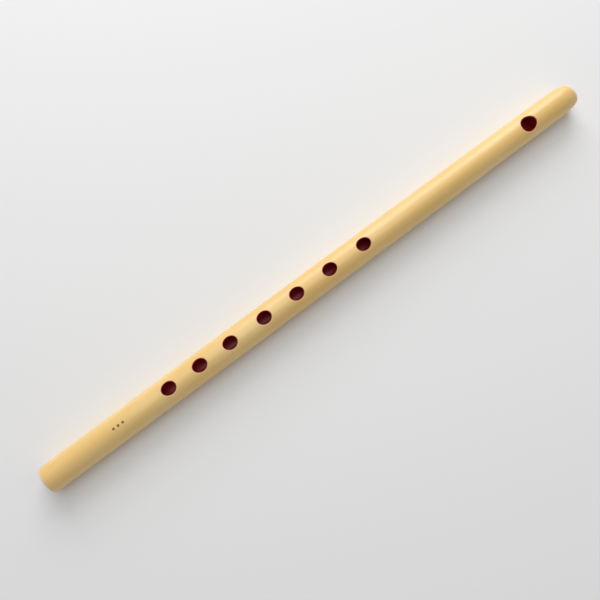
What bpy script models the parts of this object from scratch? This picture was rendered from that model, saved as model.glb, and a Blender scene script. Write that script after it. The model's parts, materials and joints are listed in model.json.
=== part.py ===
"""A plain seven-hole bamboo transverse flute, as the separate pieces its maker puts together.

Run it with blender --background --python part.py, or from the text editor.

Metres, +Z up. The flute lies along X with its foot end at -X, its head end at +X and its holes
facing up. The origin is on the surface it lies on, under the middle of its length. Places along
the flute are chained from hole to hole, as makers measure them, and x in the functions below is
the distance from the foot face along the culm's axis.
"""

import math
from collections import namedtuple

import bmesh
import bpy

# Places along the flute
HEAD_TO_BLOW_HOLE = 0.0386
BLOW_HOLE_TO_FIRST = 0.1297
FINGER_HOLE_PITCHES = (0.0257, 0.0247, 0.0241, 0.0249, 0.0220, 0.0222)
LAST_HOLE_TO_FOOT = 0.0881

# Culm: one internode of thin bamboo, a little slimmer towards both ends
CULM_RADIUS = 0.0090
CULM_END_THINNING = 0.0003
CULM_BORE_RADIUS = 0.0066
FOOT_ROUND = 0.0012
HEAD_ROUND_LENGTH = 0.0145
HEAD_ROUND_DEPTH = 0.0027

# Holes, as half sizes along and across the flute, measured inside the lacquer
FINGER_HOLE_HALF_LENGTH = 0.00467
FINGER_HOLE_HALF_WIDTH = 0.00394
FINGER_HOLE_UNDERCUT = 0.0003
BLOW_HOLE_HALF_LENGTH = 0.00529
BLOW_HOLE_HALF_WIDTH = 0.00473
BLOW_HOLE_UNDERCUT = 0.0004
BLOW_HOLE_TURN_DEG = 5.4
HOLE_RIM_ROUND = 0.0005

# Lacquer film on the bore, the stopper's face and the walls of the holes
LACQUER_FILM = 0.00025
LACQUER_CLEARANCE = 0.0003
LACQUER_FOOT_SETBACK = 0.0006

# Filling of the head, from the bore to the end of the flute
BLOW_HOLE_TO_STOPPER = 0.0030
FILLING_CLEARANCE = 0.0003
WAX_THICKNESS = 0.0025
CORK_LENGTH = 0.0125
CORK_CHAMFER = 0.0006
PLUG_NOSE_CHAMFER = 0.0008

# Fineness of the facets. A count of 4 n + 2 around puts a flat one underneath.
FACETS_AROUND = 50
FACETS_HOLE = 32
FACETS_BODY = 9
FACETS_FOOT_ROUND = 4
FACETS_HEAD_ROUND = 7
FACETS_PLUG_ROUND = 3
FACETS_RIM = 2
RIM_START_DEG = 30.0
SHARP_DEG = 35.0
MERGE_DISTANCE = 0.00001
CUTTER_REACH = 0.0010

# Sizes that follow from the ones above
FLUTE_LENGTH = (
    HEAD_TO_BLOW_HOLE + BLOW_HOLE_TO_FIRST + sum(FINGER_HOLE_PITCHES) + LAST_HOLE_TO_FOOT
)
HEAD_ROUND_X = FLUTE_LENGTH - HEAD_ROUND_LENGTH
BLOW_HOLE_X = FLUTE_LENGTH - HEAD_TO_BLOW_HOLE
STOPPER_X = BLOW_HOLE_X + BLOW_HOLE_HALF_LENGTH + BLOW_HOLE_TO_STOPPER
LACQUER_OUTER_RADIUS = CULM_BORE_RADIUS - LACQUER_CLEARANCE
SOUNDING_RADIUS = LACQUER_OUTER_RADIUS - LACQUER_FILM
FILLING_RADIUS = CULM_BORE_RADIUS - FILLING_CLEARANCE
HOLE_CUT_GROWTH = LACQUER_CLEARANCE + LACQUER_FILM

Hole = namedtuple("Hole", "name x half_length half_width undercut turn_deg")
Finish = namedtuple("Finish", "colour roughness metallic")

FINISHES = {
    "bamboo": Finish((0.78, 0.58, 0.27), 0.35, 0.0),
    "lacquer": Finish((0.13, 0.008, 0.012), 0.25, 0.0),
    "beeswax": Finish((0.70, 0.45, 0.14), 0.45, 0.0),
    "cork": Finish((0.42, 0.26, 0.13), 0.85, 0.0),
    "plug_wood": Finish((0.66, 0.47, 0.28), 0.6, 0.0),
}


def clear_scene():
    """Removes everything that the file starts with."""
    for obj in list(bpy.data.objects):
        bpy.data.objects.remove(obj)


def new_collection(name):
    """A collection of that name under the scene's own."""
    collection = bpy.data.collections.new(name)
    bpy.context.scene.collection.children.link(collection)
    return collection


def material(name):
    """A new Principled material in the finish of that name."""
    finish = FINISHES[name]
    made = bpy.data.materials.new(name)
    made.use_nodes = True
    shader = made.node_tree.nodes["Principled BSDF"]
    shader.inputs["Base Color"].default_value = (*finish.colour, 1.0)
    shader.inputs["Roughness"].default_value = finish.roughness
    shader.inputs["Metallic"].default_value = finish.metallic
    made.diffuse_color = (*finish.colour, 1.0)
    return made


def piece(mesh, finish, axis, parts):
    """A sub-part on the flute's axis, in its finish."""
    obj = bpy.data.objects.new(mesh.name, mesh)
    mesh.materials.append(material(finish))
    obj.parent = axis
    parts.objects.link(obj)
    return obj


def helper(mesh, axis, cutters):
    """A cutter, or a shape to join, which is no part of the flute."""
    obj = bpy.data.objects.new(mesh.name, mesh)
    obj.parent = axis
    obj.hide_render = True
    obj.display_type = "WIRE"
    cutters.objects.link(obj)
    return obj


def profile_mesh(name, points, closed=False):
    """A profile of (x, radius) points as a line of edges at +Y, ready to be turned about X."""
    mesh = bpy.data.meshes.new(name)
    last = len(points) if closed else len(points) - 1
    edges = [(i, (i + 1) % len(points)) for i in range(last)]
    mesh.from_pydata([(x, radius, 0.0) for x, radius in points], edges, [])
    return mesh


def turn_about_axis(obj):
    """Turns the object's profile once round the culm's axis."""
    screw = obj.modifiers.new("turned", "SCREW")
    screw.axis = "X"
    screw.angle = 2 * math.pi
    screw.screw_offset = 0.0
    screw.steps = FACETS_AROUND
    screw.render_steps = FACETS_AROUND
    screw.use_merge_vertices = True
    screw.merge_threshold = MERGE_DISTANCE


def boolean(obj, other, operation):
    """Cuts the other shape from the object, or joins it on."""
    modifier = obj.modifiers.new(other.name, "BOOLEAN")
    modifier.operation = operation
    modifier.object = other
    modifier.solver = "EXACT"


def culm_radius(x):
    """Outside radius of the bamboo at x, full at mid length and slimmer towards both ends."""
    share = 2 * x / FLUTE_LENGTH - 1
    return CULM_RADIUS - CULM_END_THINNING * share * share


def head_angle(radius):
    """Angle on the head's rounding at which its outline has come in to that radius."""
    return math.acos(1 - (culm_radius(HEAD_ROUND_X) - radius) / HEAD_ROUND_DEPTH)


def head_arc(first, last, steps):
    """Outline of the rounded head between two angles, from its side towards its face.

    The rounding is a quarter of an ellipse, long along the flute and shallow across it. Culm and
    plug are shaped together once the plug is in, so each takes its share of the one outline.
    """
    side = culm_radius(HEAD_ROUND_X)
    angles = [first + (last - first) * i / steps for i in range(steps + 1)]
    return [
        (
            HEAD_ROUND_X + HEAD_ROUND_LENGTH * math.sin(angle),
            side - HEAD_ROUND_DEPTH * (1 - math.cos(angle)),
        )
        for angle in angles
    ]


def foot_arc():
    """Outline of the rounded edge at the foot, from the culm's side to the foot face."""
    side = culm_radius(FOOT_ROUND)
    angles = [math.pi / 2 * i / FACETS_FOOT_ROUND for i in range(FACETS_FOOT_ROUND + 1)]
    return [
        (FOOT_ROUND * (1 - math.sin(angle)), side - FOOT_ROUND * (1 - math.cos(angle)))
        for angle in angles
    ]


def culm_profile():
    """The bamboo wall's section: down the outside from head to foot, and back along the bore."""
    head = head_arc(0.0, head_angle(CULM_BORE_RADIUS), FACETS_HEAD_ROUND)
    step = (FOOT_ROUND - HEAD_ROUND_X) / FACETS_BODY
    body = [HEAD_ROUND_X + step * i for i in range(1, FACETS_BODY)]
    outside = [*reversed(head), *((x, culm_radius(x)) for x in body), *foot_arc()]
    return [*outside, (0.0, CULM_BORE_RADIUS)]


def round_bar(low_x, high_x, radius, chamfer=0.0):
    """Section of a solid round bar, with both its edges chamfered where a chamfer is given."""
    points = [(high_x, 0.0), (high_x, radius - chamfer)]
    if chamfer:
        points += [(high_x - chamfer, radius), (low_x + chamfer, radius)]
    return [*points, (low_x, radius - chamfer), (low_x, 0.0)]


def plug_profile(low_x):
    """Section of the head plug: its share of the rounded head, its side and its chamfered nose."""
    face = head_arc(head_angle(FILLING_RADIUS), math.pi / 2, FACETS_PLUG_ROUND)
    nose = [
        (low_x + PLUG_NOSE_CHAMFER, FILLING_RADIUS),
        (low_x, FILLING_RADIUS - PLUG_NOSE_CHAMFER),
    ]
    return [(FLUTE_LENGTH, 0.0), *reversed(face), *nose, (low_x, 0.0)]


def resting_height():
    """Height of the axis over the flat underneath the culm's widest stretch."""
    widest = max(radius for _, radius in culm_profile())
    return widest * math.cos(math.pi / FACETS_AROUND)


def hole_ring(hole, growth, height):
    """One ring of a hole's wall, as points round it.

    Args:
        hole: the hole that it belongs to.
        growth: how far outside the hole's own outline the ring runs.
        height: function from the distance off the hole's mid plane to the height over the axis.
    """
    turn = math.radians(hole.turn_deg)
    ring = []
    for i in range(FACETS_HOLE):
        angle = 2 * math.pi * i / FACETS_HOLE
        x = hole.x + (hole.half_length + growth) * math.cos(angle)
        y = (hole.half_width + growth) * math.sin(angle)
        z = height(y)
        turned_y = y * math.cos(turn) - z * math.sin(turn)
        turned_z = y * math.sin(turn) + z * math.cos(turn)
        ring.append((x, turned_y, turned_z))
    return ring


def on_cylinder(radius):
    """Height function of a ring that lies on a cylinder round the axis."""
    return lambda y: math.sqrt(radius * radius - y * y)


def at_height(z):
    """Height function of a level ring."""
    return lambda y: z


def loft(name, rings):
    """A closed body through rings of equal counts, with a fan over each end."""
    body = bmesh.new()
    rows = [[body.verts.new(point) for point in ring] for ring in rings]
    count = len(rings[0])
    for low, high in zip(rows, rows[1:]):
        for i in range(count):
            j = (i + 1) % count
            body.faces.new((low[i], low[j], high[j], high[i]))
    for row in (rows[0], rows[-1]):
        middle = [sum(vert.co[k] for vert in row) / count for k in range(3)]
        centre = body.verts.new(middle)
        for i in range(count):
            body.faces.new((row[i], row[(i + 1) % count], centre))
    bmesh.ops.recalc_face_normals(body, faces=body.faces)
    mesh = bpy.data.meshes.new(name)
    body.to_mesh(mesh)
    body.free()
    return mesh


def wall_rings(hole, growth):
    """The rings of a hole's wall, from the axis's level up to where its rim rounds over.

    The wall is undercut, so the hole is a little wider at the bore than at its rim.
    """
    rim = culm_radius(hole.x) - HOLE_RIM_ROUND
    inner_growth = growth + hole.undercut
    return [
        hole_ring(hole, inner_growth, at_height(0.0)),
        hole_ring(hole, inner_growth, on_cylinder(LACQUER_OUTER_RADIUS)),
        hole_ring(hole, growth, on_cylinder(rim)),
    ]


def rim_rings(hole):
    """The rings of a hole's rounded rim, which follows the culm's curve all the way round.

    The rounding stops at RIM_START_DEG, and a straight flare runs on from there out of the culm.
    """
    outside = culm_radius(hole.x)
    flare = math.radians(RIM_START_DEG)
    rings = []
    for i in range(1, FACETS_RIM + 1):
        angle = math.pi / 2 + (flare - math.pi / 2) * i / FACETS_RIM
        spread = HOLE_RIM_ROUND * (1 - math.sin(angle))
        depth = HOLE_RIM_ROUND * (1 - math.cos(angle))
        rings.append(hole_ring(hole, HOLE_CUT_GROWTH + spread, on_cylinder(outside - depth)))
    outer_growth = HOLE_CUT_GROWTH + spread + (HOLE_RIM_ROUND + depth) / math.tan(flare)
    rings.append(hole_ring(hole, outer_growth, on_cylinder(outside + HOLE_RIM_ROUND)))
    rings.append(hole_ring(hole, outer_growth, at_height(outside + CUTTER_REACH)))
    return rings


def culm_cutter(hole):
    """What the knife takes out of the bamboo: the hole's wall and its rounded rim."""
    return loft(f"{hole.name}_cut", [*wall_rings(hole, HOLE_CUT_GROWTH), *rim_rings(hole)])


def film_sleeve(hole):
    """Outside of the film where it runs up a hole's wall, ending below the rounded rim."""
    return loft(f"{hole.name}_film", wall_rings(hole, LACQUER_FILM))


def film_opening(hole):
    """The clear opening inside the film, from the bore to above the culm."""
    lid = hole_ring(hole, 0.0, at_height(culm_radius(hole.x) + CUTTER_REACH))
    return loft(f"{hole.name}_clear", [*wall_rings(hole, 0.0), lid])


def all_holes():
    """The blow hole and the finger holes, from head to foot."""
    holes = [
        Hole(
            name="blow_hole",
            x=BLOW_HOLE_X,
            half_length=BLOW_HOLE_HALF_LENGTH,
            half_width=BLOW_HOLE_HALF_WIDTH,
            undercut=BLOW_HOLE_UNDERCUT,
            turn_deg=BLOW_HOLE_TURN_DEG,
        )
    ]
    x = BLOW_HOLE_X
    for number, pitch in enumerate((BLOW_HOLE_TO_FIRST, *FINGER_HOLE_PITCHES), start=1):
        x -= pitch
        holes.append(
            Hole(
                name=f"finger_hole_{number}",
                x=x,
                half_length=FINGER_HOLE_HALF_LENGTH,
                half_width=FINGER_HOLE_HALF_WIDTH,
                undercut=FINGER_HOLE_UNDERCUT,
                turn_deg=0.0,
            )
        )
    return holes


def make_culm(holes, axis, parts, cutters):
    """The bamboo tube with its bore, its rounded ends and its eight holes."""
    profile = profile_mesh("bamboo_culm", culm_profile(), closed=True)
    culm = piece(profile, "bamboo", axis, parts)
    turn_about_axis(culm)
    for hole in holes:
        boolean(culm, helper(culm_cutter(hole), axis, cutters), "DIFFERENCE")


def make_lacquer(holes, axis, parts, cutters):
    """The film: a thin cup along the bore, closed at the stopper, with a sleeve up every hole."""
    outside = round_bar(LACQUER_FOOT_SETBACK, STOPPER_X, LACQUER_OUTER_RADIUS)
    film = piece(profile_mesh("lacquer_lining", outside), "lacquer", axis, parts)
    turn_about_axis(film)
    for hole in holes:
        boolean(film, helper(film_sleeve(hole), axis, cutters), "UNION")
    inside = round_bar(-CUTTER_REACH, STOPPER_X - LACQUER_FILM, SOUNDING_RADIUS)
    bore = helper(profile_mesh("bore_clear", inside), axis, cutters)
    turn_about_axis(bore)
    boolean(film, bore, "DIFFERENCE")
    for hole in holes:
        boolean(film, helper(film_opening(hole), axis, cutters), "DIFFERENCE")


def make_filling(axis, parts):
    """What closes the head behind the blow hole: a wax seal, a cork and the turned plug."""
    wax_x = STOPPER_X + FILLING_CLEARANCE
    cork_x = wax_x + WAX_THICKNESS + FILLING_CLEARANCE
    plug_x = cork_x + CORK_LENGTH + FILLING_CLEARANCE
    wax = round_bar(wax_x, wax_x + WAX_THICKNESS, FILLING_RADIUS)
    cork = round_bar(cork_x, cork_x + CORK_LENGTH, FILLING_RADIUS, CORK_CHAMFER)
    turn_about_axis(piece(profile_mesh("wax_seal", wax), "beeswax", axis, parts))
    turn_about_axis(piece(profile_mesh("cork_stopper", cork), "cork", axis, parts))
    plug = profile_mesh("head_plug", plug_profile(plug_x))
    turn_about_axis(piece(plug, "plug_wood", axis, parts))


def shade_pieces(parts):
    """Applies the pieces' modifiers and shades them smooth up to their rims."""
    graph = bpy.context.evaluated_depsgraph_get()
    finished = {
        obj: bpy.data.meshes.new_from_object(obj.evaluated_get(graph))
        for obj in parts.objects
        if obj.type == "MESH"
    }
    for obj, mesh in finished.items():
        obj.modifiers.clear()
        obj.data = mesh
        mesh.shade_smooth()
        mesh.set_sharp_from_angle(angle=math.radians(SHARP_DEG))


def main():
    """Builds the flute."""
    clear_scene()
    parts = new_collection("shinobue")
    cutters = new_collection("cutters")
    axis = bpy.data.objects.new("flute_axis", None)
    axis.location = (-FLUTE_LENGTH / 2, 0.0, resting_height())
    parts.objects.link(axis)
    holes = all_holes()
    make_culm(holes, axis, parts, cutters)
    make_lacquer(holes, axis, parts, cutters)
    make_filling(axis, parts)
    shade_pieces(parts)


main()
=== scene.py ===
"""Looks of a plain seven-hole bamboo transverse flute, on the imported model's frame.

Metres, in the model's own frame: the flute lies along X with its foot at -X, its head at +X and
its holes facing up. Angles round the culm count from straight up towards -Y, the player's side.
"""
import json
import logging
from dataclasses import dataclass, field
from enum import Enum
from functools import cached_property, reduce
from typing import Any, Callable, Sequence

import bmesh
import bpy
import numpy as np
from mathutils import Matrix, Vector


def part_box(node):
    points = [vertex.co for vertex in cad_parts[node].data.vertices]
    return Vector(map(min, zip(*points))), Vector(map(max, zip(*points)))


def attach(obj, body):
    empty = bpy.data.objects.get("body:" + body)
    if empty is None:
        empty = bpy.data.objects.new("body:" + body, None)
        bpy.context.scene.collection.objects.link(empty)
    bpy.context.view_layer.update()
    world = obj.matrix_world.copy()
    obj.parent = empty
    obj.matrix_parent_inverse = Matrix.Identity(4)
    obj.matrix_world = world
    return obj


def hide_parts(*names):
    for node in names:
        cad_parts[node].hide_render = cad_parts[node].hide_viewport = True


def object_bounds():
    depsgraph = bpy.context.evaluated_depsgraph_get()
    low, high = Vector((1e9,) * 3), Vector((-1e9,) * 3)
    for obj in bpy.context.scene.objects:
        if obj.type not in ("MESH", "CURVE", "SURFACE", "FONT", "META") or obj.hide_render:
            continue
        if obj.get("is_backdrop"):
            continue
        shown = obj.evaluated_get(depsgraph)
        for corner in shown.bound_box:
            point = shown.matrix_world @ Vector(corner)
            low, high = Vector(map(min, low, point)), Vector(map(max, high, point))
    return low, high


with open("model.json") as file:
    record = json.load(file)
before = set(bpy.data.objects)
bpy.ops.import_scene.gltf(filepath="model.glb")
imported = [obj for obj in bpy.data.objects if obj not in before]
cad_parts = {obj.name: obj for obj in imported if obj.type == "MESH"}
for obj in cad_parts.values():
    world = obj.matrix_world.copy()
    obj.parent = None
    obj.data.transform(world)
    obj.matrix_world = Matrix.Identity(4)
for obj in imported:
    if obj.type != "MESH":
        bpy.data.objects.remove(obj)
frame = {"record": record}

LOG = logging.getLogger("shinobue")

CAD_LOW, CAD_HIGH = (Vector(corner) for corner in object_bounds())
CULM_LOW, CULM_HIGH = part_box("bamboo_culm")
LINING_LOW, LINING_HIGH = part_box("lacquer_lining")

FOOT_X = CAD_LOW.x
HEAD_X = CAD_HIGH.x
LENGTH = HEAD_X - FOOT_X
CULM_RADIUS = (CULM_HIGH.y - CULM_LOW.y) / 2
AXIS_HEIGHT = (CULM_LOW.z + CULM_HIGH.z) / 2

# Every turned piece has this many columns round it. Its wall has this many rows through a hole's
# window, rows about a row step apart elsewhere, and this many steps round a rounded edge.
COLUMNS = 144
WINDOW_ROWS = 14
ROW_STEP = 0.004
EDGE_STEPS = 8

# How far, in radians, the columns of an inner skin are drawn down from the top.
INNER_SKEW = 0.65

# Edges that turn more than this stay sharp.
SHARP_ANGLE = np.radians(40)

# The number on each point that says how much of it is a cut edge.
CUT_EDGE = "cut_edge"

Colour = tuple[float, float, float]
Radius = Callable[[np.ndarray], np.ndarray]


class Wire:
    """One value in a material's graph, with the usual arithmetic signs."""

    def __init__(self, graph: "Graph", socket: bpy.types.NodeSocket | None) -> None:
        """Wraps an output socket of the graph, or none where a node has no output."""
        self.graph = graph
        self.socket = socket

    def maths(self, operation: str, *values: "Wire | float") -> "Wire":
        """The result of a Math node with that operation on the values."""
        return self.graph.node("ShaderNodeMath", {"operation": operation}, list(values))

    def __add__(self, other: "Wire | float") -> "Wire":
        """This value plus the other."""
        return self.maths("ADD", self, other)

    def __radd__(self, other: "Wire | float") -> "Wire":
        """The other plus this value."""
        return self.maths("ADD", other, self)

    def __sub__(self, other: "Wire | float") -> "Wire":
        """This value less the other."""
        return self.maths("SUBTRACT", self, other)

    def __rsub__(self, other: "Wire | float") -> "Wire":
        """The other less this value."""
        return self.maths("SUBTRACT", other, self)

    def __mul__(self, other: "Wire | float") -> "Wire":
        """This value times the other."""
        return self.maths("MULTIPLY", self, other)

    def __rmul__(self, other: "Wire | float") -> "Wire":
        """The other times this value."""
        return self.maths("MULTIPLY", other, self)

    def over(self, other: "Wire | float") -> "Wire":
        """The larger of the two values."""
        return self.maths("MAXIMUM", self, other)

    def root(self) -> "Wire":
        """The square root."""
        return self.maths("SQRT", self)

    def ramp(self, low: float, high: float) -> "Wire":
        """0 at low, 1 at high, eased between them and held outside them."""
        settings = {"interpolation_type": "SMOOTHSTEP"}
        return self.graph.node("ShaderNodeMapRange", settings, [self, low, high, 0.0, 1.0])


class Graph:
    """The node graph of one material."""

    def __init__(self, name: str) -> None:
        """Starts an empty material.

        Args:
            name: its name.
        """
        self.material = bpy.data.materials.new(name)
        self.material.use_nodes = True
        self.tree = self.material.node_tree
        self.tree.nodes.clear()

    def node(
        self, kind: str, settings: dict[str, Any], inputs: list | dict, output: int | str = 0
    ) -> Wire:
        """Adds a node.

        Args:
            kind: the node's type name.
            settings: its properties, set before its inputs.
            inputs: values or wires, as a list in socket order or as a dict by socket.
            output: which output to hand back.

        Returns:
            The chosen output as a wire.
        """
        made = self.tree.nodes.new(kind)
        for key, value in settings.items():
            setattr(made, key, value)
        pairs = inputs.items() if isinstance(inputs, dict) else enumerate(inputs)
        for key, value in pairs:
            if isinstance(value, Wire):
                self.tree.links.new(value.socket, made.inputs[key])
            else:
                made.inputs[key].default_value = value
        return Wire(self, made.outputs[output] if made.outputs else None)

    @cached_property
    def place(self) -> Wire:
        """The point being shaded, in metres of the model's frame."""
        return self.node("ShaderNodeTexCoord", {}, {}, "Object")

    def axes(self) -> tuple[Wire, ...]:
        """That point's three coordinates."""
        split = self.node("ShaderNodeSeparateXYZ", {}, [self.place])
        return tuple(Wire(self, output) for output in split.socket.node.outputs)

    def scaled(self, scale: Sequence[float]) -> Wire:
        """That point with each coordinate scaled by its own number."""
        return self.node("ShaderNodeMapping", {}, {"Vector": self.place, "Scale": scale})

    def mix(self, amount: Wire | float, first: Wire | Colour, second: Wire | Colour) -> Wire:
        """Mixes two colours.

        Args:
            amount: 0 for the first, 1 for the second.
            first: a colour or a wire that carries one.
            second: the same.

        Returns:
            The mixed colour.
        """
        ends = [end if isinstance(end, Wire) else rgba(end) for end in (first, second)]
        inputs = {0: amount, 6: ends[0], 7: ends[1]}
        return self.node("ShaderNodeMix", {"data_type": "RGBA"}, inputs, 2)

    def attribute(self, name: str) -> Wire:
        """A number stored on the piece's own points."""
        return self.node("ShaderNodeAttribute", {"attribute_name": name}, {}, "Fac")

    def surface(self, inputs: dict[str, Any]) -> bpy.types.Material:
        """Ends the graph in a Principled shader.

        Args:
            inputs: the shader's values or wires by socket.

        Returns:
            The material.
        """
        shader = self.node("ShaderNodeBsdfPrincipled", {}, inputs)
        self.node("ShaderNodeOutputMaterial", {}, [shader])
        return self.material


def rgba(colour: Colour) -> tuple[float, float, float, float]:
    """A colour with full alpha."""
    return (*colour, 1.0)


@dataclass(frozen=True)
class Pattern:
    """A scattered pattern, with so many features to a metre along X, Y and Z.

    A colour starts to follow it at the low value, and does so by the amount at the high one.
    """

    scale: tuple[float, float, float]
    low: float = 0.0
    high: float = 1.0
    amount: float = 1.0

    def cover(self, value: Wire) -> Wire:
        """How much of the colour follows a value of this pattern."""
        return self.amount * value.ramp(self.low, self.high)


@dataclass(frozen=True)
class Noise(Pattern):
    """Soft noise around 0.5, with finer layers and their strength."""

    detail: float = 3.0
    roughness: float = 0.5

    def on(self, graph: Graph) -> Wire:
        """The noise at the point being shaded."""
        inputs = {"Vector": graph.scaled(self.scale), "Scale": 1.0, "Detail": self.detail}
        return graph.node("ShaderNodeTexNoise", {}, inputs | {"Roughness": self.roughness})


@dataclass(frozen=True)
class Cells(Pattern):
    """Distance to the nearest of many scattered points, in cells."""

    def on(self, graph: Graph) -> Wire:
        """The distance at the point being shaded."""
        inputs = {"Vector": graph.scaled(self.scale), "Scale": 1.0}
        return graph.node("ShaderNodeTexVoronoi", {}, inputs)


@dataclass(frozen=True)
class Sheen:
    """Least roughness, what a pattern adds to it, and a relief's depth and strength."""

    roughness: float
    variation: float
    depth: float
    strength: float

    def rough(self, pattern: Wire) -> Wire:
        """Roughness that follows a pattern."""
        return self.variation * pattern + self.roughness

    def relief(self, graph: Graph, height: Wire) -> Wire:
        """A surface normal from a height in units of the depth."""
        inputs = {"Height": height, "Distance": self.depth, "Strength": self.strength}
        return graph.node("ShaderNodeBump", {}, inputs)


@dataclass(frozen=True)
class BambooFinish:
    """Peeled and polished bamboo skin, pale where a knife or file has cut through it.

    The two spans are the cut-edge values between which colour and roughness change over.
    """

    skin: Colour = (0.86, 0.555, 0.18)
    skin_deep: Colour = (0.66, 0.36, 0.095)
    skin_pale: Colour = (0.90, 0.64, 0.26)
    cut: Colour = (0.93, 0.72, 0.55)
    fibre_dot: Colour = (0.52, 0.32, 0.16)
    burn: Colour = (0.085, 0.026, 0.008)
    drift: Noise = Noise((14.0, 90.0, 90.0), 0.30, 0.72)
    fibres: Noise = Noise((16.0, 1500.0, 1500.0), 0.52, 0.80, 0.42, 5.0, 0.65)
    hairs: Noise = Noise((60.0, 4200.0, 4200.0), 0.60, 0.85, 0.18, 2.0)
    bundles: Cells = Cells((68000.0, 1700.0, 1700.0), 0.34, 0.10, 0.35)
    sheen: Sheen = Sheen(0.36, 0.10, 0.00004, 0.6)
    hair_relief: float = 0.3
    cut_colour_span: tuple[float, float] = (0.15, 0.85)
    cut_roughness_span: tuple[float, float] = (0.1, 0.9)
    cut_roughness: float = 0.20
    cut_at_hole: float = 0.36
    mark_x: tuple[float, ...] = (-0.1505, -0.1473, -0.1441)
    mark_radius: float = 0.0008
    mark_blur: float = 0.0002
    mark_strength: float = 0.9

    def burnt_dots(self, graph: Graph) -> Wire:
        """A short row of plain burnt dots between the foot and the holes, on the upper half.

        Seen from above, each dot fades from mark_blur inside mark_radius to mark_blur outside.

        Args:
            graph: the bamboo's graph.

        Returns:
            How much a point is burnt.
        """
        x, y, z = graph.axes()
        above = z.ramp(AXIS_HEIGHT, AXIS_HEIGHT + CULM_RADIUS / 2)
        outer, inner = self.mark_radius + self.mark_blur, self.mark_radius - self.mark_blur
        spans = [x - centre for centre in self.mark_x]
        dots = [(span * span + y * y).root().ramp(outer, inner) for span in spans]
        return reduce(Wire.over, dots) * above

    def material(self) -> bpy.types.Material:
        """Dresses the culm.

        Returns:
            A material of fine lengthwise fibres, slow drifts of colour and pale cut edges.
        """
        graph = Graph("bamboo")
        drift = self.drift.on(graph)
        fibres = self.fibres.on(graph)
        hairs = self.hairs.on(graph)
        bundles = self.bundles.on(graph)
        edge = graph.attribute(CUT_EDGE)
        colour = graph.mix(self.drift.cover(drift), self.skin, self.skin_pale)
        colour = graph.mix(self.fibres.cover(fibres), colour, self.skin_deep)
        colour = graph.mix(self.hairs.cover(hairs), colour, self.skin_deep)
        cut = graph.mix(self.bundles.cover(bundles), self.cut, self.fibre_dot)
        colour = graph.mix(edge.ramp(*self.cut_colour_span), colour, cut)
        burnt = self.mark_strength * self.burnt_dots(graph)
        cut_roughness = self.cut_roughness * edge.ramp(*self.cut_roughness_span)
        height = (1 - self.hair_relief) * fibres + self.hair_relief * hairs
        return graph.surface(
            {
                "Base Color": graph.mix(burnt, colour, self.burn),
                "Roughness": cut_roughness + self.sheen.rough(fibres),
                "IOR": 1.5,
                "Coat Weight": 0.5,
                "Coat Roughness": 0.28,
                "Normal": self.sheen.relief(graph, height),
            }
        )


@dataclass(frozen=True)
class LacquerFinish:
    """Dark red brushed lacquer, thicker in some places than in others."""

    thin: Colour = (0.52, 0.015, 0.030)
    thick: Colour = (0.40, 0.011, 0.020)
    pools: Noise = Noise((60.0, 160.0, 160.0), 0.35, 0.70)
    strokes: Noise = Noise((40.0, 1400.0, 1400.0))
    sheen: Sheen = Sheen(0.36, 0.12, 0.00003, 0.5)

    def material(self) -> bpy.types.Material:
        """Dresses the lining.

        Returns:
            A material of pooled lacquer with the faint lengthwise marks of the brush.
        """
        graph = Graph("lacquer")
        pools = self.pools.on(graph)
        strokes = self.strokes.on(graph)
        return graph.surface(
            {
                "Base Color": graph.mix(self.pools.cover(pools), self.thin, self.thick),
                "Roughness": self.sheen.rough(pools),
                "Coat Weight": 0.1,
                "Coat Roughness": 0.10,
                "Normal": self.sheen.relief(graph, strokes),
            }
        )


@dataclass(frozen=True)
class WaxFinish:
    """Beeswax as it sets, clouded and a little uneven."""

    body: Colour = (0.72, 0.46, 0.14)
    cloud: Colour = (0.82, 0.62, 0.30)
    clouds: Noise = Noise((320.0, 320.0, 320.0), 0.40, 0.65, detail=4.0)
    dimples: Noise = Noise((900.0, 900.0, 900.0), detail=2.0)
    sheen: Sheen = Sheen(0.36, 0.2, 0.0001, 0.6)

    def material(self) -> bpy.types.Material:
        """Dresses the seal.

        Returns:
            A material of clouded wax with soft dimples.
        """
        graph = Graph("beeswax")
        clouds = self.clouds.on(graph)
        dimples = self.dimples.on(graph)
        return graph.surface(
            {
                "Base Color": graph.mix(self.clouds.cover(clouds), self.body, self.cloud),
                "Roughness": self.sheen.rough(clouds),
                "Subsurface Weight": 0.3,
                "Subsurface Scale": 0.001,
                "Normal": self.sheen.relief(graph, dimples),
            }
        )


@dataclass(frozen=True)
class CorkFinish:
    """Cut cork with its dark pores."""

    body: Colour = (0.45, 0.28, 0.14)
    grain: Colour = (0.60, 0.41, 0.23)
    pore: Colour = (0.10, 0.05, 0.025)
    tone: Noise = Noise((500.0, 500.0, 500.0), 0.38, 0.66, detail=4.0)
    cells: Cells = Cells((1600.0, 1600.0, 1600.0), 0.75, 0.35, 0.3)
    pores: Cells = Cells((420.0, 252.0, 420.0), 0.16, 0.08)
    pore_strength: float = 0.85
    cell_relief: float = 0.5
    sheen: Sheen = Sheen(0.72, 0.2, 0.0002, 0.8)

    def material(self) -> bpy.types.Material:
        """Dresses the stopper.

        Returns:
            A material of cork cells in two browns, with scattered pores sunk into them.
        """
        graph = Graph("cork")
        tone = self.tone.on(graph)
        cells = self.cells.on(graph)
        pores = self.pores.cover(self.pores.on(graph))
        colour = graph.mix(self.tone.cover(tone), self.body, self.grain)
        colour = graph.mix(self.cells.cover(cells), colour, self.body)
        return graph.surface(
            {
                "Base Color": graph.mix(self.pore_strength * pores, colour, self.pore),
                "Roughness": self.sheen.rough(tone),
                "Normal": self.sheen.relief(graph, self.cell_relief * cells - pores),
            }
        )


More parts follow.
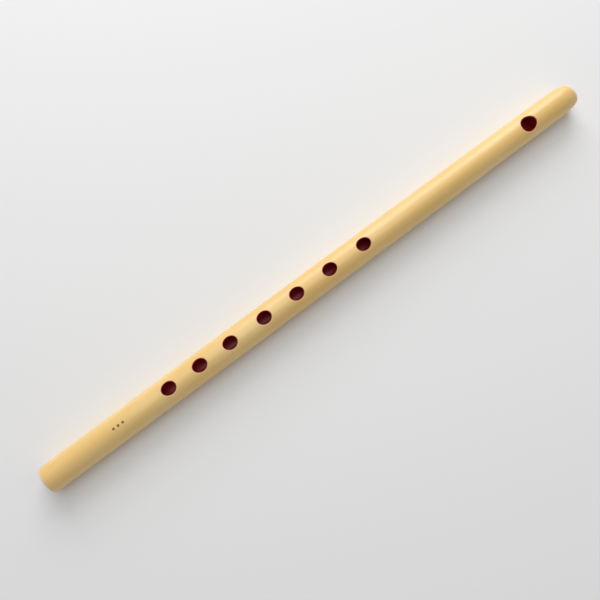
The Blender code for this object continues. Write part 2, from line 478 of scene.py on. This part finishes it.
@dataclass(frozen=True)
class PlugFinish:
    """Sanded bamboo end grain on the plug, pale with darker fibre bundles."""

    body: Colour = (0.88, 0.66, 0.45)
    rim: Colour = (0.80, 0.56, 0.33)
    bundle: Colour = (0.50, 0.31, 0.16)
    tone: Noise = Noise((60.0, 400.0, 400.0), 0.35, 0.70)
    bundles: Cells = Cells((45000.0, 1500.0, 1500.0), 0.36, 0.12)
    bundle_strength: float = 0.4
    sheen: Sheen = Sheen(0.48, 0.15, -0.00003, 0.6)

    def material(self) -> bpy.types.Material:
        """Dresses the plug.

        Returns:
            A material of pale wood with the dots of its fibre bundles.
        """
        graph = Graph("plug_wood")
        tone = self.tone.on(graph)
        dots = self.bundles.cover(self.bundles.on(graph))
        colour = graph.mix(self.tone.cover(tone), self.body, self.rim)
        return graph.surface(
            {
                "Base Color": graph.mix(self.bundle_strength * dots, colour, self.bundle),
                "Roughness": self.sheen.rough(tone),
                "Normal": self.sheen.relief(graph, dots),
            }
        )


@dataclass(frozen=True)
class FloorFinish:
    """A plain pale matt surface under the flute."""

    colour: Colour = (0.88, 0.88, 0.88)

    def material(self) -> bpy.types.Material:
        """One even pale grey."""
        return Graph("floor").surface({"Base Color": rgba(self.colour), "Roughness": 0.9})


def fractions(count: int, power: float = 1.0) -> np.ndarray:
    """Steps from above 0 to below 1.

    They lie at 1 - (1 - i / count) to the power, so a power over 1 draws them together
    towards 1.

    Args:
        count: how many parts the way from 0 to 1 has.
        power: how strongly the steps are drawn together.

    Returns:
        The count - 1 steps.
    """
    return 1 - (1 - np.arange(1, count) / count) ** power


def quarter_turn(parts: int) -> np.ndarray:
    """Angles from 0 to a right angle in equal parts, with both ends."""
    return np.linspace(0, np.pi / 2, parts + 1)


def half_turn(parts: int) -> np.ndarray:
    """Angles between 0 and a straight angle in equal parts, without the ends."""
    return np.linspace(0, np.pi, parts + 1)[1:-1]


def even(radius: float) -> Radius:
    """A radius that is the same everywhere along the flute."""
    return lambda x: np.full(np.shape(x), radius)


@dataclass(frozen=True)
class HoleShape:
    """What the holes of one kind share.

    The ellipse's half axes lie along and across the flute. The hole is wider by its undercut at
    the bore than at its rim, and turned round the culm towards the player. Its window, the patch
    of wall that is made for it, is in metres along the flute and in grid columns round it.
    """

    half_length: float
    half_width: float
    undercut: float
    turn: float
    window_half_length: float
    window_centre: int
    window_half_width: int


class HoleKind(Enum):
    """The two kinds of hole, with the names that the record's openings begin with."""

    FINGER_HOLE = HoleShape(0.00467, 0.00394, 0.0003, 0.0, 0.0064, 0, 14)
    BLOW_HOLE = HoleShape(0.00529, 0.00473, 0.0004, np.radians(5.4), 0.0074, 2, 17)


@dataclass(frozen=True)
class Hole:
    """One hole: an ellipse laid over the culm's curve."""

    x: float
    shape: HoleShape

    @property
    def window_x(self) -> tuple[float, float]:
        """Where the hole's own patch of the wall starts and ends along the flute."""
        return self.x - self.shape.window_half_length, self.x + self.shape.window_half_length

    @property
    def window_columns(self) -> tuple[int, int]:
        """The grid columns between which that patch lies."""
        centre, half = self.shape.window_centre, self.shape.window_half_width
        return centre - half, centre + half

    def local(self, points: np.ndarray) -> tuple[np.ndarray, np.ndarray]:
        """Sees points from the hole's middle.

        Args:
            points: rows of coordinates.

        Returns:
            Their distances from the middle along the flute, and across it, square to the
            hole's own upright.
        """
        y, z = points[:, 1], points[:, 2] - AXIS_HEIGHT
        turn = self.shape.turn
        return points[:, 0] - self.x, -y * np.cos(turn) - z * np.sin(turn)

    def lifted(self, along: np.ndarray, across: np.ndarray, radius: np.ndarray) -> np.ndarray:
        """Lays points over a cylinder.

        A point's height over the axis is the root of the radius squared less its distance
        across squared. The whole is then turned round the axis by the hole's turn.

        Args:
            along: distances from the hole's middle along the flute.
            across: distances across it.
            radius: how far off the axis each point comes to lie.

        Returns:
            The points' coordinates.
        """
        height = np.sqrt(np.maximum(radius**2 - across**2, 0.0))
        cos, sin = np.cos(self.shape.turn), np.sin(self.shape.turn)
        y = -(across * cos + height * sin)
        z = AXIS_HEIGHT + height * cos - across * sin
        return np.stack([self.x + along, y, z], axis=-1)


def read_holes() -> list[Hole]:
    """Places the eight holes.

    Returns:
        The holes from foot to head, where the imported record's openings have their middles.
    """
    holes = []
    for opening in frame["record"]["physics"]["openings"]:
        for kind in HoleKind:
            if opening["name"].upper().startswith(kind.name):
                low, high = opening["box_m"]
                holes.append(Hole((low[0] + high[0]) / 2, kind.value))
    return sorted(holes, key=lambda hole: hole.x)


def rows_along(low: float, high: float, holes: Sequence[Hole]) -> np.ndarray:
    """Places of a wall's rows along the flute.

    Every hole's window has the same number of equal steps, and the plain stretches between
    the windows have steps of about the row step.

    Args:
        low: the first place.
        high: the last place.
        holes: the holes between them, in order.

    Returns:
        The places in order, both ends among them.
    """
    rows = [low]

    def plain(end: float) -> None:
        """Fills the stretch up to end with steps of about the row step."""
        steps = max(1, int(np.ceil((end - rows[-1]) / ROW_STEP)))
        rows.extend(np.linspace(rows[-1], end, steps + 1)[1:])

    for hole in holes:
        start, end = hole.window_x
        plain(start)
        rows.extend(np.linspace(start, end, WINDOW_ROWS + 1)[1:])
    plain(high)
    return np.array(rows)


@dataclass(frozen=True)
class Run:
    """A stretch of a wall's section, as rows in order.

    Attributes:
        x: each row's place along the flute.
        radius: its distance from the axis.
        skew: how far its columns are drawn down from the top, which widens the windows there.
        cut: how much of the row is a cut edge.
    """

    x: np.ndarray
    radius: np.ndarray | float
    skew: float = 0.0
    cut: np.ndarray | float = 0.0


class Section:
    """A wall's section, as rows that are carried once round the axis."""

    def __init__(self, runs: Sequence[Run], closed: bool) -> None:
        """Joins the runs.

        Args:
            runs: the section's stretches, one after the other.
            closed: whether the last row joins the first. If not, both ends close on the axis.
        """
        sizes = [len(run.x) for run in runs]
        self.closed = closed
        self.x = np.concatenate([run.x for run in runs])
        self.radius, self.skew, self.cut = (
            np.concatenate([np.broadcast_to(getattr(r, key), n) for r, n in zip(runs, sizes)])
            for key in ("radius", "skew", "cut")
        )

    def points(self) -> np.ndarray:
        """Carries the section round the axis.

        A column at angle a from the top lies at a plus skew times sin a, so the outside is
        spaced evenly and the inside leaves wider cells at the top.

        Returns:
            The points, as rows by columns by coordinates.
        """
        angle = 2 * np.pi * np.arange(COLUMNS) / COLUMNS
        turned = angle + self.skew[:, None] * np.sin(angle)
        x = np.broadcast_to(self.x[:, None], turned.shape)
        y = -self.radius[:, None] * np.sin(turned)
        z = AXIS_HEIGHT + self.radius[:, None] * np.cos(turned)
        return np.stack([x, y, z], axis=-1)


@dataclass
class Surface:
    """Vertices, faces and the cut-edge value of a piece while it is put together."""

    vertices: list[np.ndarray] = field(default_factory=list)
    cut: list[np.ndarray] = field(default_factory=list)
    faces: list[np.ndarray] = field(default_factory=list)
    count: int = 0

    def add(self, vertices: np.ndarray, cut: np.ndarray | float) -> np.ndarray:
        """Adds points.

        Args:
            vertices: a grid of coordinates.
            cut: how much of each point is a cut edge.

        Returns:
            The points' numbers, in the shape of their grid.
        """
        flat = vertices.reshape(-1, 3)
        numbers = self.count + np.arange(len(flat)).reshape(vertices.shape[:-1])
        self.vertices.append(flat)
        self.cut.append(np.broadcast_to(cut, vertices.shape[:-1]).reshape(-1))
        self.count += len(flat)
        return numbers

    def band(self, rows: np.ndarray, keep: np.ndarray | None = None) -> None:
        """Adds the faces between neighbouring rows, each of which is closed on itself.

        Args:
            rows: point numbers, rows by columns.
            keep: which of the faces are made. All of them, if none is given.
        """
        low, high = rows[:-1], rows[1:]
        quads = np.stack([low, np.roll(low, -1, 1), np.roll(high, -1, 1), high], axis=-1)
        self.faces.append(quads.reshape(-1, 4) if keep is None else quads[keep])

    def close(self, section: Section, numbers: np.ndarray) -> None:
        """Closes both ends of a section's grid with fans about the axis.

        Args:
            section: the section.
            numbers: the numbers of the grid's points, rows by columns.
        """
        for end in (0, -1):
            row = numbers[end]
            pole = self.add(np.array([[section.x[end], 0.0, AXIS_HEIGHT]]), 0.0)
            fan = [row, np.roll(row, -1), np.full(row.shape, pole[0])]
            self.faces.append(np.stack(fan, axis=-1))

    def piece(self, name: str, material: bpy.types.Material) -> bpy.types.Object:
        """Makes the object, with its faces outwards and its edges smooth up to the sharp ones.

        Args:
            name: the piece's name.
            material: its finish.

        Returns:
            The finished piece.
        """
        mesh = bpy.data.meshes.new(name)
        faces = [face for block in self.faces for face in block.tolist()]
        mesh.from_pydata(np.concatenate(self.vertices).tolist(), [], faces)
        layer = mesh.attributes.new(CUT_EDGE, "FLOAT", "POINT")
        layer.data.foreach_set("value", np.concatenate(self.cut).astype(np.float32))
        body = bmesh.new()
        body.from_mesh(mesh)
        bmesh.ops.recalc_face_normals(body, faces=body.faces)
        body.to_mesh(mesh)
        body.free()
        mesh.shade_smooth()
        mesh.set_sharp_from_angle(angle=SHARP_ANGLE)
        mesh.materials.append(material)
        made = bpy.data.objects.new(name, mesh)
        bpy.context.scene.collection.objects.link(made)
        return made


class Skin(Enum):
    """The two skins of a tube's wall, in the order in which a section runs along them."""

    FIRST = 0
    SECOND = 1


@dataclass(frozen=True)
class Path:
    """How a hole's patch runs from the section's first skin, over the rim, to its second.

    Each ring lies outside the hole's own ellipse by its growth and below the culm's outside by
    its depth. The fills are the fractions of the way from a window to the hole at which more
    rings lie on either skin.
    """

    growth: np.ndarray
    depth: np.ndarray
    cut: np.ndarray
    first_fill: np.ndarray
    second_fill: np.ndarray


@dataclass(frozen=True)
class PiercedWall:
    """A turned wall with the holes' patches let into both its skins.

    The second skin starts at the section's row second_start, first and second are the skins'
    radii, and crown is the culm's outside radius, from which the depths of rings count.
    """

    holes: list[Hole]
    section: Section
    second_start: int
    first: Radius
    second: Radius
    crown: Radius

    def window_rows(self, hole: Hole, skin: Skin) -> tuple[int, int]:
        """Finds a hole's window among the rows of one skin.

        Args:
            hole: the hole.
            skin: the skin.

        Returns:
            The rows at the window's foot end and at its head end.
        """
        start = 0 if skin is Skin.FIRST else self.second_start
        stop = self.second_start if skin is Skin.FIRST else len(self.section.x)
        places = self.section.x[start:stop]
        foot_end, head_end = (start + int(np.argmin(abs(places - x))) for x in hole.window_x)
        return foot_end, head_end

    def window_loop(self, hole: Hole, skin: Skin) -> tuple[np.ndarray, np.ndarray]:
        """Walks round a hole's window, in the same order on both skins.

        Args:
            hole: the hole.
            skin: the skin.

        Returns:
            The rows and the columns of the grid points on the way.
        """
        low, high = self.window_rows(hole, skin)
        left, right = hole.window_columns
        out = np.arange(low, high, np.sign(high - low))
        back = np.arange(high, low, np.sign(low - high))
        across = np.arange(left, right)
        rows = [np.full(across.shape, low), out, np.full(across.shape, high), back]
        columns = [across, np.full(out.shape, right), across[::-1] + 1, np.full(back.shape, left)]
        return np.concatenate(rows), np.concatenate(columns) % COLUMNS

    def fill(
        self, hole: Hole, skin: Radius, window: np.ndarray, ring: np.ndarray, steps: np.ndarray
    ) -> np.ndarray:
        """Rings on one skin, moving straight from a window's edge to a ring.

        Args:
            hole: the hole.
            skin: that skin's radius.
            window: distances along and across of the window's points.
            ring: the same for the ring's points.
            steps: the fractions of the way at which the rings lie.

        Returns:
            The rings' points.
        """
        along, across = window[:, None] + steps[:, None] * (ring - window)[:, None]
        return hole.lifted(along, across, skin(hole.x + along))

    def patch(self, surface: Surface, numbers: np.ndarray, hole: Hole, path: Path) -> None:
        """Lets one hole's patch into the grid.

        Each ring is the hole's ellipse, widened by the ring's growth and laid on the cylinder at
        the ring's depth. Its points go round by angles that move evenly from those of the first
        window's points to those of the second's.

        Args:
            surface: the piece being put together.
            numbers: the numbers of the grid's points, rows by columns.
            hole: the hole.
            path: the way over its rim.
        """
        grid = self.section.points()
        loops = [self.window_loop(hole, skin) for skin in Skin]
        windows = [np.stack(hole.local(grid[loop])) for loop in loops]
        half_length, half_width = hole.shape.half_length, hole.shape.half_width
        angles = [np.arctan2(v / half_width, u / half_length) for u, v in windows]
        gap = np.angle(np.exp(1j * (angles[1] - angles[0])))
        angle = angles[0] + np.linspace(0, 1, len(path.growth))[:, None] * gap
        along = (half_length + path.growth[:, None]) * np.cos(angle)
        across = (half_width + path.growth[:, None]) * np.sin(angle)
        rings = hole.lifted(along, across, self.crown(hole.x + along) - path.depth[:, None])
        ring = np.stack([along, across], axis=1)
        start = self.fill(hole, self.first, windows[0], ring[0], path.first_fill)
        finish = self.fill(hole, self.second, windows[1], ring[-1], path.second_fill)[::-1]
        cut = np.concatenate([np.zeros(len(start)), path.cut, np.zeros(len(finish))])
        added = surface.add(np.concatenate([start, rings, finish]), cut[:, None])
        edges = [numbers[loop][None] for loop in loops]
        surface.band(np.concatenate([edges[0], added, edges[1]]))

    def build(self, path: Callable[[Hole], Path]) -> Surface:
        """Puts the wall together: the grid without its windows, the patches, and closed ends.

        Args:
            path: gives the way over a hole's rim.

        Returns:
            The whole surface.
        """
        section = self.section
        surface = Surface()
        numbers = surface.add(section.points(), section.cut[:, None])
        rows = np.concatenate([numbers, numbers[:1]]) if section.closed else numbers
        keep = np.ones((len(rows) - 1, COLUMNS), bool)
        for hole in self.holes:
            columns = np.arange(*hole.window_columns) % COLUMNS
            for skin in Skin:
                low, high = sorted(self.window_rows(hole, skin))
                keep[low:high, columns] = False
        surface.band(rows, keep)
        for hole in self.holes:
            self.patch(surface, numbers, hole, path(hole))
        if not section.closed:
            surface.close(section, numbers)
        return surface


@dataclass
class Culm:
    """The bamboo tube: polished skin, rounded ends and eight holes with eased rims.

    The outside thins from mid length to both ends. The head is a quarter ellipse, filed over
    head_cut_length from its tip, and head_filing is how quickly the cut comes in there. The cut
    on the foot's edge is foot_sanding at the face and one less at the side. A hole's wall lies
    hole_growth outside the hole's ellipse. The steps are those over the head, a rim and a hole's
    wall, and those from a window's edge to its hole, outside and in the bore.
    """

    holes: list[Hole]
    full_radius: float = CULM_RADIUS
    end_thinning: float = 0.0003
    bore_radius: float = 0.0066
    foot_round: float = 0.0012
    foot_inner_round: float = 0.0002
    head_round_length: float = 0.0145
    head_round_depth: float = 0.0027
    head_cut_length: float = 0.0024
    head_filing: float = 2.2
    foot_sanding: float = 1.75
    hole_growth: float = 0.00014
    rim_round: float = 0.00032
    head_steps: int = 26
    rim_steps: int = 6
    wall_steps: int = 5
    skin_steps: int = 7
    bore_steps: int = 4
    head_crowding: float = 1.5
    skin_crowding: float = 1.8
    finish: BambooFinish = BambooFinish()

    def radius(self, x: np.ndarray | float) -> np.ndarray:
        """Outside radius.

        The full radius, less the end thinning times the square of the way from the middle to
        the end.

        Args:
            x: places along the flute.

        Returns:
            The radius at each of them.
        """
        share = 2 * (np.asarray(x) - FOOT_X) / LENGTH - 1
        return self.full_radius - self.end_thinning * share**2

    def head_arc(self, turns: np.ndarray) -> tuple[np.ndarray, np.ndarray]:
        """Follows the head's quarter ellipse from the side to the tip.

        Its place is the length times the sine of the turn past where it starts, and its radius
        the side's less the depth times one minus the cosine.

        Args:
            turns: the ellipse's angles, from 0 at the side to a right angle at the tip.

        Returns:
            The places along the flute and the radii.
        """
        start = HEAD_X - self.head_round_length
        side = float(self.radius(start))
        x = start + self.head_round_length * np.sin(turns)
        return x, side - self.head_round_depth * (1 - np.cos(turns))

    def head_turn(self, radius: float) -> float:
        """The ellipse's angle at which the head has that radius."""
        side = float(self.radius(HEAD_X - self.head_round_length))
        return float(np.arccos(1 - (side - radius) / self.head_round_depth))

    def section(self) -> tuple[Section, int]:
        """The wall's section.

        It runs outside from foot to head, over the quarter ellipse to the bore, back along the
        bore, and round the foot's edge by two quarter circles.

        Returns:
            The section, and the row at which its inside starts.
        """
        head_x = HEAD_X - self.head_round_length
        outer_x = rows_along(FOOT_X + self.foot_round, head_x, self.holes)
        last = self.head_turn(self.bore_radius)
        turns = last * np.append(fractions(self.head_steps, self.head_crowding), 1.0)
        arc_x, arc_r = self.head_arc(turns)
        filed = (arc_x - (HEAD_X - self.head_cut_length)) / self.head_cut_length
        inner_x = rows_along(FOOT_X + self.foot_inner_round, head_x, self.holes)[::-1]
        inward = quarter_turn(EDGE_STEPS)[1:]
        lip_x = FOOT_X + self.foot_inner_round * (1 - np.sin(inward))
        lip_r = self.bore_radius + self.foot_inner_round * (1 - np.cos(inward))
        outward = quarter_turn(EDGE_STEPS)[:0:-1]
        foot_side = float(self.radius(FOOT_X + self.foot_round))
        foot_x = FOOT_X + self.foot_round * (1 - np.sin(outward))
        foot_r = foot_side - self.foot_round * (1 - np.cos(outward))
        sanded = self.foot_sanding - (foot_x - FOOT_X) / self.foot_round
        runs = [
            Run(outer_x, self.radius(outer_x)),
            Run(arc_x, arc_r, cut=np.clip(self.head_filing * filed, 0, 1)),
            Run(inner_x, self.bore_radius, INNER_SKEW),
            Run(lip_x, lip_r, INNER_SKEW, 1.0),
            Run(foot_x, foot_r, cut=np.clip(sanded, 0, 1)),
        ]
        return Section(runs, closed=True), len(outer_x) + len(arc_x)

    def path(self, hole: Hole) -> Path:
        """Over a hole's rounded rim and down its undercut wall to the bore.

        Args:
            hole: the hole.

        Returns:
            The patch's path.
        """
        quarter = quarter_turn(self.rim_steps)
        wall = np.append(fractions(self.wall_steps), 1.0)
        floor = float(self.radius(hole.x)) - self.bore_radius
        rim_growth = self.hole_growth + self.rim_round * (1 - np.sin(quarter))
        rim_depth = self.rim_round * (1 - np.cos(quarter))
        growth = [rim_growth, self.hole_growth + hole.shape.undercut * wall]
        depth = [rim_depth, self.rim_round + (floor - self.rim_round) * wall]
        cut = [np.full(quarter.shape, self.finish.cut_at_hole), np.ones(wall.shape)]
        return Path(
            growth=np.concatenate(growth),
            depth=np.concatenate(depth),
            cut=np.concatenate(cut),
            first_fill=fractions(self.skin_steps, self.skin_crowding),
            second_fill=fractions(self.bore_steps),
        )

    def build(self) -> bpy.types.Object:
        """Builds and dresses the culm, in the place of its solid.

        Returns:
            The culm.
        """
        bore = even(self.bore_radius)
        wall = PiercedWall(self.holes, *self.section(), self.radius, bore, self.radius)
        culm = wall.build(self.path).piece("culm", self.finish.material())
        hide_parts("bamboo_culm")
        return culm


@dataclass
class Lining:
    """The lacquer film: down the bore, over the stopper's face and up every hole's wall.

    A hole's sleeve lies between sleeve_in and sleeve_out, both counted outwards from the hole's
    ellipse, and its lip ends lip_depth below the culm's outside. The steps are those up a
    sleeve's outside, down its inside and round the edge into the bore, and those from a window's
    edge to the sleeve on both skins.
    """

    culm: Culm
    outer_radius: float = 0.00655
    inner_radius: float = 0.00605
    bottom_thickness: float = 0.00025
    sleeve_out: float = 0.00012
    sleeve_in: float = -0.00010
    lip_depth: float = 0.00014
    bore_round: float = 0.00035
    sleeve_steps: int = 3
    wall_steps: int = 8
    turn_steps: int = 5
    outer_steps: int = 3
    inner_steps: int = 5
    inner_crowding: float = 1.4
    finish: LacquerFinish = LacquerFinish()

    def section(self) -> tuple[Section, int]:
        """A cup's section: outside from stopper to foot, round the lip, and back inside.

        Returns:
            The section, and the row at which its inside starts.
        """
        holes, foot_x, stopper_x = self.culm.holes, LINING_LOW.x, LINING_HIGH.x
        outer_x = rows_along(foot_x, stopper_x, holes)[::-1]
        lip = (self.outer_radius - self.inner_radius) / 2
        half = half_turn(EDGE_STEPS)
        lip_x = foot_x + lip - lip * np.sin(half)
        lip_r = self.inner_radius + lip + lip * np.cos(half)
        inner_x = rows_along(foot_x + lip, stopper_x - self.bottom_thickness, holes)
        runs = [
            Run(outer_x, self.outer_radius, INNER_SKEW),
            Run(lip_x, lip_r, INNER_SKEW),
            Run(inner_x, self.inner_radius, INNER_SKEW),
        ]
        return Section(runs, closed=False), len(outer_x) + len(lip_x)

    def path(self, hole: Hole) -> Path:
        """Up the sleeve's outside, over its round lip, down its inside and round into the bore.

        Args:
            hole: the hole.

        Returns:
            The patch's path.
        """
        crown = float(self.culm.radius(hole.x))
        undercut = hole.shape.undercut
        up = np.linspace(1, 0, self.sleeve_steps + 1)
        half = half_turn(EDGE_STEPS)
        down = np.linspace(0, 1, self.wall_steps + 1)
        quarter = quarter_turn(self.turn_steps)[1:]
        lip = (self.sleeve_out - self.sleeve_in) / 2
        top = self.lip_depth + lip
        start = crown - self.outer_radius
        turn_in = crown - self.inner_radius - self.bore_round
        growth = [
            self.sleeve_out + undercut * up,
            self.sleeve_in + lip + lip * np.cos(half),
            self.sleeve_in + undercut * down,
            self.sleeve_in + undercut + self.bore_round * (1 - np.cos(quarter)),
        ]
        depth = [
            top + (start - top) * up,
            top - lip * np.sin(half),
            top + (turn_in - top) * down,
            turn_in + self.bore_round * np.sin(quarter),
        ]
        return Path(
            growth=np.concatenate(growth),
            depth=np.concatenate(depth),
            cut=np.zeros(sum(map(len, growth))),
            first_fill=fractions(self.outer_steps),
            second_fill=fractions(self.inner_steps, self.inner_crowding),
        )

    def build(self) -> bpy.types.Object:
        """Builds and dresses the film, in the place of its solid.

        Returns:
            The film.
        """
        outer, inner = even(self.outer_radius), even(self.inner_radius)
        wall = PiercedWall(self.culm.holes, *self.section(), outer, inner, self.culm.radius)
        film = wall.build(self.path).piece("lining", self.finish.material())
        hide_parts("lacquer_lining")
        return film


@dataclass
class Filling:
    """What closes the head: the wax seal, the cork and the plug shaped with the culm.

    All three have the same radius, and edges that are rounded each to its own measure. Their
    flat faces have rings at even steps from face_low to face_high of the face's radius.
    """

    culm: Culm
    radius: float = 0.0065
    wax_round: float = 0.0003
    cork_round: float = 0.0006
    plug_nose_round: float = 0.0008
    face_low: float = 0.2
    face_high: float = 0.95
    face_rings: int = 6
    plug_face_low: float = 0.15
    plug_face_rings: int = 8
    plug_tip_steps: int = 12
    wax: WaxFinish = WaxFinish()
    cork: CorkFinish = CorkFinish()
    plug: PlugFinish = PlugFinish()

    def face(self, x: float, radius: float, parts: np.ndarray) -> Run:
        """Rings of a flat face at those parts of its radius."""
        return Run(np.full(parts.shape, x), parts * radius)

    def edge(self, x: float, corner: float, inward: int) -> Run:
        """Rounds an edge by a quarter circle, from the face at x outwards.

        Args:
            x: the face's place.
            corner: the circle's radius.
            inward: 1 where the piece lies towards the head from its face, -1 towards the foot.

        Returns:
            The rows from the face to the side.
        """
        quarter = quarter_turn(EDGE_STEPS)
        radius = self.radius - corner * (1 - np.sin(quarter))
        return Run(x + inward * corner * (1 - np.cos(quarter)), radius)

    def bar(self, node: str, corner: float) -> Section:
        """Section of a solid round bar.

        Args:
            node: the solid whose length it has.
            corner: radius of its edges.

        Returns:
            The section from the foot side to the head side.
        """
        low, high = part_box(node)
        parts = np.linspace(self.face_low, self.face_high, self.face_rings)
        far = self.edge(high.x, corner, -1)
        runs = [
            self.face(low.x, self.radius - corner, parts),
            self.edge(low.x, corner, 1),
            Run(far.x[::-1], far.radius[::-1]),
            self.face(high.x, self.radius - corner, parts[::-1]),
        ]
        return Section(runs, closed=False)

    def nose_and_tip(self) -> Section:
        """Section of the plug, which ends in its share of the head's quarter ellipse.

        Returns:
            The section from the cork's side to the tip.
        """
        low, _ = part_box("head_plug")
        corner = self.plug_nose_round
        parts = np.linspace(self.plug_face_low, self.face_high, self.plug_face_rings)
        start = self.culm.head_turn(self.radius)
        turns = np.linspace(start, np.pi / 2, self.plug_tip_steps + 1)
        tip_x, tip_r = self.culm.head_arc(turns)
        runs = [
            self.face(low.x, self.radius - corner, parts),
            self.edge(low.x, corner, 1),
            Run(tip_x, tip_r),
            self.face(HEAD_X, tip_r[-1], parts[::-1]),
        ]
        return Section(runs, closed=False)

    def turned(
        self, name: str, node: str, slot: str, section: Section, material: bpy.types.Material
    ) -> bpy.types.Object:
        """Carries a section round the axis, closes its ends, and dresses the piece.

        Args:
            name: the piece's name.
            node: the solid in whose place it is.
            slot: not used.
            section: its section.
            material: its finish.

        Returns:
            The piece.
        """
        surface = Surface()
        numbers = surface.add(section.points(), section.cut[:, None])
        surface.band(numbers)
        surface.close(section, numbers)
        made = surface.piece(name, material)
        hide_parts(node)
        return made

    def build(self) -> list[bpy.types.Object]:
        """Builds and dresses the three pieces.

        Returns:
            The wax, the cork and the plug.
        """
        wax = self.bar("wax_seal", self.wax_round)
        cork = self.bar("cork_stopper", self.cork_round)
        plug = self.nose_and_tip()
        return [
            self.turned("wax", "wax_seal", "beeswax", wax, self.wax.material()),
            self.turned("cork", "cork_stopper", "cork", cork, self.cork.material()),
            self.turned("plug", "head_plug", "plug_wood", plug, self.plug.material()),
        ]


@dataclass(frozen=True)
class Lamp:
    """A rectangular soft lamp that faces the flute's middle."""

    name: str
    place: tuple[float, float, float]
    size: tuple[float, float]
    watts: float

    def hang(self) -> None:
        """Puts the lamp in its place and turns it."""
        light = bpy.data.lights.new(self.name, "AREA")
        light.shape = "RECTANGLE"
        light.size, light.size_y = self.size
        light.energy = self.watts
        lamp = bpy.data.objects.new(self.name, light)
        lamp.location = self.place
        lamp.rotation_euler = (-Vector(self.place)).to_track_quat("-Z", "Y").to_euler()
        bpy.context.scene.collection.objects.link(lamp)


@dataclass
class Studio:
    """A pale floor, a broad lamp beyond the flute with a weaker one above, and the camera.

    The camera's focal length is in pixels of a frame that is frame_pixels wide, and nothing
    nearer to it than nearest is drawn.
    """

    floor_half: float = 3.0
    floor_finish: FloorFinish = FloorFinish()
    lamps: tuple[Lamp, ...] = (
        Lamp("key", (0.62, 1.20, 0.80), (1.5, 1.0), 18.0),
        Lamp("top", (0.10, 0.30, 1.20), (1.0, 1.0), 4.6),
    )
    world_strength: float = 0.32
    camera_place: tuple[float, float, float] = (-0.05296, -0.06010, 0.37788)
    camera_aim: tuple[float, float, float] = (-0.01953, -0.00439, 0.01798)
    camera_up: tuple[float, float, float] = (0.59303, 0.78555, 0.17670)
    focal_pixels: float = 615.75
    frame_pixels: float = 600.0
    nearest: float = 0.01

    def floor(self) -> None:
        """Lays a level sheet under the flute."""
        half = self.floor_half
        corners = [(-half, -half, 0.0), (half, -half, 0.0), (half, half, 0.0), (-half, half, 0.0)]
        mesh = bpy.data.meshes.new("floor")
        mesh.from_pydata(corners, [], [(0, 1, 2, 3)])
        mesh.materials.append(self.floor_finish.material())
        sheet = bpy.data.objects.new("floor", mesh)
        bpy.context.scene.collection.objects.link(sheet)
        sheet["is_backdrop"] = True

    def world(self) -> None:
        """Gives an even white light from all round."""
        world = bpy.data.worlds.new("studio")
        world.use_nodes = True
        background = world.node_tree.nodes["Background"]
        background.inputs["Color"].default_value = (1.0, 1.0, 1.0, 1.0)
        background.inputs["Strength"].default_value = self.world_strength
        bpy.context.scene.world = world

    def camera(self) -> None:
        """Sets the camera, at the place and angle found from the flute's outline and holes."""
        data = bpy.data.cameras.new("camera")
        data.lens = data.sensor_width * self.focal_pixels / self.frame_pixels
        data.clip_start = self.nearest
        camera = bpy.data.objects.new("camera", data)
        back = (Vector(self.camera_place) - Vector(self.camera_aim)).normalized()
        right = Vector(self.camera_up).cross(back).normalized()
        turned = Matrix((right, back.cross(right), back)).transposed()
        camera.matrix_world = Matrix.Translation(self.camera_place) @ turned.to_4x4()
        bpy.context.scene.collection.objects.link(camera)
        bpy.context.scene.camera = camera

    def build(self) -> None:
        """Sets up floor, light, camera and the plain view of colours."""
        self.floor()
        for lamp in self.lamps:
            lamp.hang()
        self.world()
        self.camera()
        bpy.context.scene.view_settings.view_transform = "Standard"


def main() -> None:
    """Builds the flute's pieces on their body, then the studio round them."""
    logging.basicConfig(level=logging.INFO, format="%(message)s")
    culm = Culm(read_holes())
    pieces = [culm.build(), Lining(culm).build(), *Filling(culm).build()]
    for piece in pieces:
        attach(piece, "root")
        LOG.info("%s: %d faces", piece.name, len(piece.data.polygons))
    Studio().build()
    bpy.context.view_layer.update()


if __name__ == "__main__":
    main()
